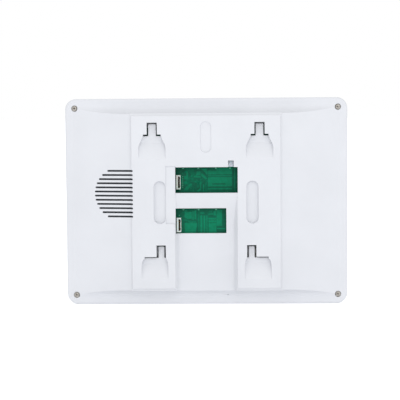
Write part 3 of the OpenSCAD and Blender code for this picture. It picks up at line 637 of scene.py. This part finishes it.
def nylon(name, colour_a, colour_b):
    """Natural nylon: a slightly translucent off-white with a waxy sheen."""
    material, tree, shader, place = new_material(
        name, colour_a, 0.42, ior=1.53, Subsurface_Weight=0.12, Subsurface_Scale=0.6 * MM)
    mottle(tree, shader, place, colour_a, colour_b, 2 * MM)
    grain(tree, shader, place, 0.4 * MM, 0.006 * MM, 0.36, 0.5)
    return material


header_nylon = nylon("natural_nylon", "#ccd4cf", "#c3cbc6")


def even_radius(radius, least_degrees=40):
    """The same small radius on every edge sharper than an angle."""
    return lambda edge: radius if edge.calc_face_angle(0) > math.radians(least_degrees) else 0


def softened(node, name, body, slot, material, radius, segments=2):
    """A CAD node with the same small radius on its edges, in place of the node."""
    piece = radiused(node, name, material, even_radius(radius), radius, segments)
    stands_for(piece, body, slot, node)
    return piece




def painted_slot_shade():
    """Dark brown paint for the floor and lower walls of a header's slot: painted shade, standing in for the
    shade deep in the slot.
    """
    material, tree, shader, place = new_material("painted_shade_header_slot", "#3b342b", 0.6)
    mottle(tree, shader, place, "#342d25", "#463e33", 1 * MM)
    grain(tree, shader, place, 0.25 * MM, 0.006 * MM, 0.55, 0.7)
    return material


header_slot_shade = painted_slot_shade()
for node in ("door_header", "power_header"):
    housing = softened(node, node + "_housing", "monitor", "header_white", header_nylon, 0.12 * MM)
    low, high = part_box(node)
    slot_x, slot_z = (low.x + high.x) / 2 - 0.5 * MM, (low.z + high.z) / 2
    # the floor and lower walls of the slot take the dark brown painted shade
    housing.data.materials.append(header_slot_shade)
    for face in housing.data.polygons:
        at = face.center
        in_slot = abs(at.x - slot_x) < 0.92 * MM and abs(at.z - slot_z) < 5.5 * MM
        if in_slot and board_face + 1 * MM < at.y < high.y - 0.4 * MM:
            face.material_index = 1


def pin_brass():
    """Tin-flashed brass pins: warm where the flash is thin."""
    material, tree, shader, place = new_material("tin_flashed_brass", "#8d7354", 0.36, metallic=1.0)
    mottle(tree, shader, place, "#7d6246", "#a08764", 1 * MM)
    grain(tree, shader, place, 0.2 * MM, 0.004 * MM, 0.24, 0.4)
    return material


header_brass = pin_brass()
for node in ("door_header_pins", "power_header_pins"):
    softened(node, node + "_row", "monitor", "pin_tin", header_brass, 0.1 * MM)

# ---------------------------------------------------------------- slide switch
# A small through-board slide switch: black base, folded tin-plated can, and a pale lever
# with a broad flat knob.


def moulded_black(name, colour="#1d1e20"):
    """Glass-filled black plastic: matt, with short pale fibre marks."""
    material, tree, shader, place = new_material(name, colour, 0.55, ior=1.52)
    mottle(tree, shader, place, colour, "#2a2b2e", 1.5 * MM)
    grain(tree, shader, place, 0.3 * MM, 0.008 * MM, 0.48, 0.64)
    return material


black_plastic = moulded_black("glass_filled_black_plastic")
lever_plastic = nylon("pale_grey_acetal", "#c6cdd6", "#bdc5cf")
softened("switch_base", "switch_base_block", "monitor", "black_plastic", black_plastic, 0.15 * MM)


def bright_tin():
    """Bright tin plate: pale and bluish, with the faint cloud of a dipped coat."""
    material, tree, shader, place = new_material("bright_tin_plate", "#dfe4ea", 0.45, metallic=0.6)
    mottle(tree, shader, place, "#d8dde4", "#e6eaf0", 1.5 * MM)
    grain(tree, shader, place, 0.3 * MM, 0.004 * MM, 0.4, 0.54)
    return material


softened("switch_can", "switch_can_shell", "monitor", "plated_steel", bright_tin(), 0.18 * MM)
softened("switch_lever", "switch_lever_knob", "switch_slider", "header_white", lever_plastic, 0.12 * MM)

# ---------------------------------------------------------------- display lens
# A 0.9 mm sheet of cover glass, printed black on its back round the picture area, with a
# polished, slightly rounded edge. Switched off, the picture area is only a shade lighter.

active_low, active_high = Vector((-111.35, 0, -53.15)) * MM, Vector((111.35, 0, 72.15)) * MM


def cover_glass():
    """Black-printed cover glass: deep, polished, with the picture area a faint blue-grey."""
    material, tree, shader, place = new_material(
        "black_printed_cover_glass", "#050608", 0.05, ior=1.5, Coat_Weight=1.0, Coat_Roughness=0.02)
    at = add_node(tree, "ShaderNodeSeparateXYZ", {0: place})
    inside = None
    for axis, low, high in (("X", active_low.x, active_high.x), ("Z", active_low.z, active_high.z)):
        above = add_node(tree, "ShaderNodeMath", {0: at.outputs[axis], 1: low}, operation="GREATER_THAN")
        under = add_node(tree, "ShaderNodeMath", {0: at.outputs[axis], 1: high}, operation="LESS_THAN")
        both = add_node(tree, "ShaderNodeMath", {
            0: above.outputs[0], 1: under.outputs[0]}, operation="MULTIPLY")
        inside = both if inside is None else add_node(
            tree, "ShaderNodeMath", {0: inside.outputs[0], 1: both.outputs[0]}, operation="MULTIPLY")
    shades = add_node(tree, "ShaderNodeMix", {
        "Factor": inside.outputs[0], "A": linear("#040405"), "B": linear("#14171c")}, data_type="RGBA")
    tree.links.new(shades.outputs["Result"], shader.inputs["Base Color"])
    smear = add_node(tree, "ShaderNodeTexNoise", {"Vector": place, "Scale": 1 / (30 * MM), "Detail": 4.0})
    rough = add_node(tree, "ShaderNodeMapRange", {
        "Value": smear.outputs["Fac"], "From Min": 0.35, "From Max": 0.75, "To Min": 0.035, "To Max": 0.09})
    tree.links.new(rough.outputs["Result"], shader.inputs["Roughness"])
    return material


softened("display_lens", "display_cover_glass", "monitor", "lens_black", cover_glass(), 0.25 * MM, 3)

# ---------------------------------------------------------------- keys
# Five white ABS key caps with a polished face, each held by a flange behind the shell and
# pressing on the plunger of its own tact switch.


def key_abs():
    """Moulded ABS with a polished tool: smoother and a little brighter than the case."""
    material, tree, shader, place = new_material(
        "polished_white_abs", "#eceef1", 0.28, ior=1.53, Coat_Weight=0.15)
    mottle(tree, shader, place, "#eceef1", "#e7e9ed", 6 * MM)
    grain(tree, shader, place, 1.2 * MM, 0.004 * MM, 0.24, 0.32)
    return material


key_white = key_abs()
key_bodies = ("monitor_key", "unlock_key", "talk_key", "volume_up_key", "volume_down_key")
for number, body in enumerate(key_bodies, 1):
    softened(f"key_{number}", f"{body}_cap", body, "key_plastic", key_white, 0.35 * MM, 3)
    softened(f"key_plunger_{number}", f"{body}_plunger", body, "black_plastic", black_plastic, 0.2 * MM)

# ---------------------------------------------------------------- speaker and dust cloth
# A slim 45 mm speaker behind the slots. Black dust cloth is stretched over it, so the slots
# look dark and slightly blue.


def dust_cloth():
    """Woven polyester cloth: dark threads crossing every 0.5 mm, drawn at 0.9 mm so it shows."""
    material, tree, shader, place = new_material("woven_dust_cloth", "#33373c", 0.85, Sheen_Weight=0.2)
    at = add_node(tree, "ShaderNodeSeparateXYZ", {0: place})
    waves = []
    for axis in ("X", "Z"):
        count = add_node(tree, "ShaderNodeMath", {
            0: at.outputs[axis], 1: 2 * math.pi / (0.9 * MM)}, operation="MULTIPLY")
        waves.append(add_node(tree, "ShaderNodeMath", {0: count.outputs[0]}, operation="SINE"))
    weave = add_node(tree, "ShaderNodeMath", {
        0: waves[0].outputs[0], 1: waves[1].outputs[0]}, operation="MULTIPLY")
    shades = add_node(tree, "ShaderNodeMapRange", {"Value": weave.outputs[0], "From Min": -1.0})
    mix = add_node(tree, "ShaderNodeMix", {
        "Factor": shades.outputs["Result"], "A": linear("#24272b"), "B": linear("#454a51")}, data_type="RGBA")
    tree.links.new(mix.outputs["Result"], shader.inputs["Base Color"])
    bump = add_node(tree, "ShaderNodeBump", {"Height": weave.outputs[0], "Distance": 0.08 * MM})
    tree.links.new(bump.outputs["Normal"], shader.inputs["Normal"])
    return material


softened("grille_cloth", "speaker_dust_cloth", "monitor", "cloth_black", dust_cloth(), 0.1 * MM)

# ---------------------------------------------------------------- pieces inside the case
# What the case hides keeps its CAD shape, and takes the finish of the real piece: pressed
# steel, diffuser plastic, black epoxy, ferrite, sleeved cans, flex, foam and rubber.


def pressed_steel():
    """Rolled, tin-plated sheet: long faint rolling lines along X."""
    material, tree, shader, place = new_material("rolled_tin_plate", "#b6b9bd", 0.36, metallic=1.0)
    stretched = add_node(tree, "ShaderNodeMapping", {"Vector": place, "Scale": (0.02, 1.0, 1.0)})
    mottle(tree, shader, stretched.outputs[0], "#adb0b4", "#c0c3c7", 1.5 * MM)
    grain(tree, shader, stretched.outputs[0], 0.6 * MM, 0.004 * MM, 0.3, 0.44)
    return material


def plain_moulding(name, colour_a, colour_b, roughness, patch, size):
    """A moulded or cast piece with cloudy colour and a fine grain."""
    material, tree, shader, place = new_material(name, colour_a, roughness)
    mottle(tree, shader, place, colour_a, colour_b, patch)
    grain(tree, shader, place, size, 0.01 * MM, roughness - 0.05, roughness + 0.07)
    return material


tray_steel = pressed_steel()
epoxy = plain_moulding("moulded_epoxy", "#1e2022", "#282a2c", 0.58, 1.5 * MM, 0.25 * MM)
ferrite = plain_moulding("sintered_ferrite", "#2f3133", "#3b3d3f", 0.6, 1 * MM, 0.3 * MM)
relay_case = plain_moulding("white_relay_case", "#e2e3df", "#d9dad6", 0.4, 4 * MM, 0.6 * MM)
can_sleeve = plain_moulding("capacitor_sleeve", "#1c2740", "#25314e", 0.35, 2 * MM, 0.5 * MM)
polyimide = plain_moulding("polyimide_flex", "#a4651f", "#b8762a", 0.3, 5 * MM, 0.8 * MM)
ribbon_pvc = plain_moulding("white_flat_cable", "#dadad4", "#cfcfc9", 0.4, 4 * MM, 0.6 * MM)
foam = plain_moulding("closed_cell_foam", "#2f3134", "#3d4043", 0.85, 1 * MM, 0.4 * MM)
paper_cone = plain_moulding("treated_paper_cone", "#17181a", "#232528", 0.8, 2 * MM, 0.4 * MM)
lead_pvc = plain_moulding("speaker_lead_pvc", "#8e2024", "#a3282c", 0.45, 2 * MM, 0.5 * MM)
boot_rubber = plain_moulding("black_rubber", "#1a1b1c", "#242526", 0.75, 1 * MM, 0.3 * MM)
diffuser = plain_moulding("milky_diffuser", "#eef0ec", "#e6e9e5", 0.4, 12 * MM, 1 * MM)
tape_foam = plain_moulding("black_tape", "#141414", "#1c1c1c", 0.8, 3 * MM, 0.5 * MM)
dark_glass = plain_moulding("polarised_glass", "#0d0f13", "#12151a", 0.12, 30 * MM, 4 * MM)
clear_acrylic = new_material("clear_acrylic", "#e4ecef", 0.08, ior=1.49, Transmission_Weight=0.9)[0]

inside_finishes = {
    tape_foam: ["lens_tape"],
    dark_glass: ["lcd_glass"],
    diffuser: ["lcd_light_guide", "status_led"],
    tray_steel: ["lcd_tray", "lcd_brackets", "crystal"],
    plated_steel: ["speaker_magnet", "speaker_screws", "microphone"],
    epoxy: ["processor", "memory_chips", "video_decoder", "audio_amplifier", "small_parts"],
    relay_case: ["lock_relay"],
    ferrite: ["power_inductor"],
    can_sleeve: ["capacitors"],
    polyimide: ["display_ribbon"],
    ribbon_pvc: ["key_ribbon"],
    header_nylon: ["display_connector", "key_connectors", "speaker_socket"],
    foam: ["speaker_gasket"],
    black_plastic: ["speaker_frame", "key_switches"],
    paper_cone: ["speaker_cone"],
    lead_pvc: ["speaker_leads"],
    boot_rubber: ["microphone_boot"],
    clear_acrylic: ["light_pipe"],
}
for material, nodes in inside_finishes.items():
    for node in nodes:
        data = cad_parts[node].data
        data.materials.clear()
        data.materials.append(material)

# ---------------------------------------------------------------- floor and light
# A pale floor that runs to the horizon under an even white sky. One broad softbox above the
# camera and one in front lift the large faces a little over the edges that turn away.

floor_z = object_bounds()[0].z - 0.2 * MM
floor_data = bpy.data.meshes.new("pale_floor")
reach = 12.0
floor_data.from_pydata(
    [(-reach, -reach, floor_z), (reach, -reach, floor_z), (reach, reach, floor_z), (-reach, reach, floor_z)],
    [], [(0, 1, 2, 3)])
floor_material, floor_tree, floor_shader, floor_place = new_material(
    "pale_studio_floor", "#c9cacc", 0.8, Emission_Strength=0.52)
floor_shader.inputs["Emission Color"].default_value = linear("#ffffff")
mottle(floor_tree, floor_shader, floor_place, "#c9cacc", "#c5c6c9", 0.4)
floor_data.materials.append(floor_material)
floor = bpy.data.objects.new("pale_floor", floor_data)
bpy.context.scene.collection.objects.link(floor)

world = bpy.data.worlds.new("white_studio")
bpy.context.scene.world = world
world.use_nodes = True
sky = world.node_tree
sky.nodes["Background"].inputs["Color"].default_value = (1.0, 1.0, 1.0, 1.0)
sky.nodes["Background"].inputs["Strength"].default_value = 1.0


def softbox(name, place, width, height, power):
    """A soft rectangular light aimed at the monitor's middle."""
    light = bpy.data.lights.new(name, "AREA")
    light.shape = "RECTANGLE"
    light.size, light.size_y = width, height
    light.energy = power
    lamp = bpy.data.objects.new(name, light)
    lamp.location = place
    lamp.rotation_euler = (-Vector(place)).to_track_quat("-Z", "Y").to_euler()
    bpy.context.scene.collection.objects.link(lamp)


softbox("rear_softbox", (-0.25, 1.6, 0.75), 1.2, 0.9, 7.5)
softbox("front_softbox", (0.25, -1.6, 0.75), 1.2, 0.9, 7.5)
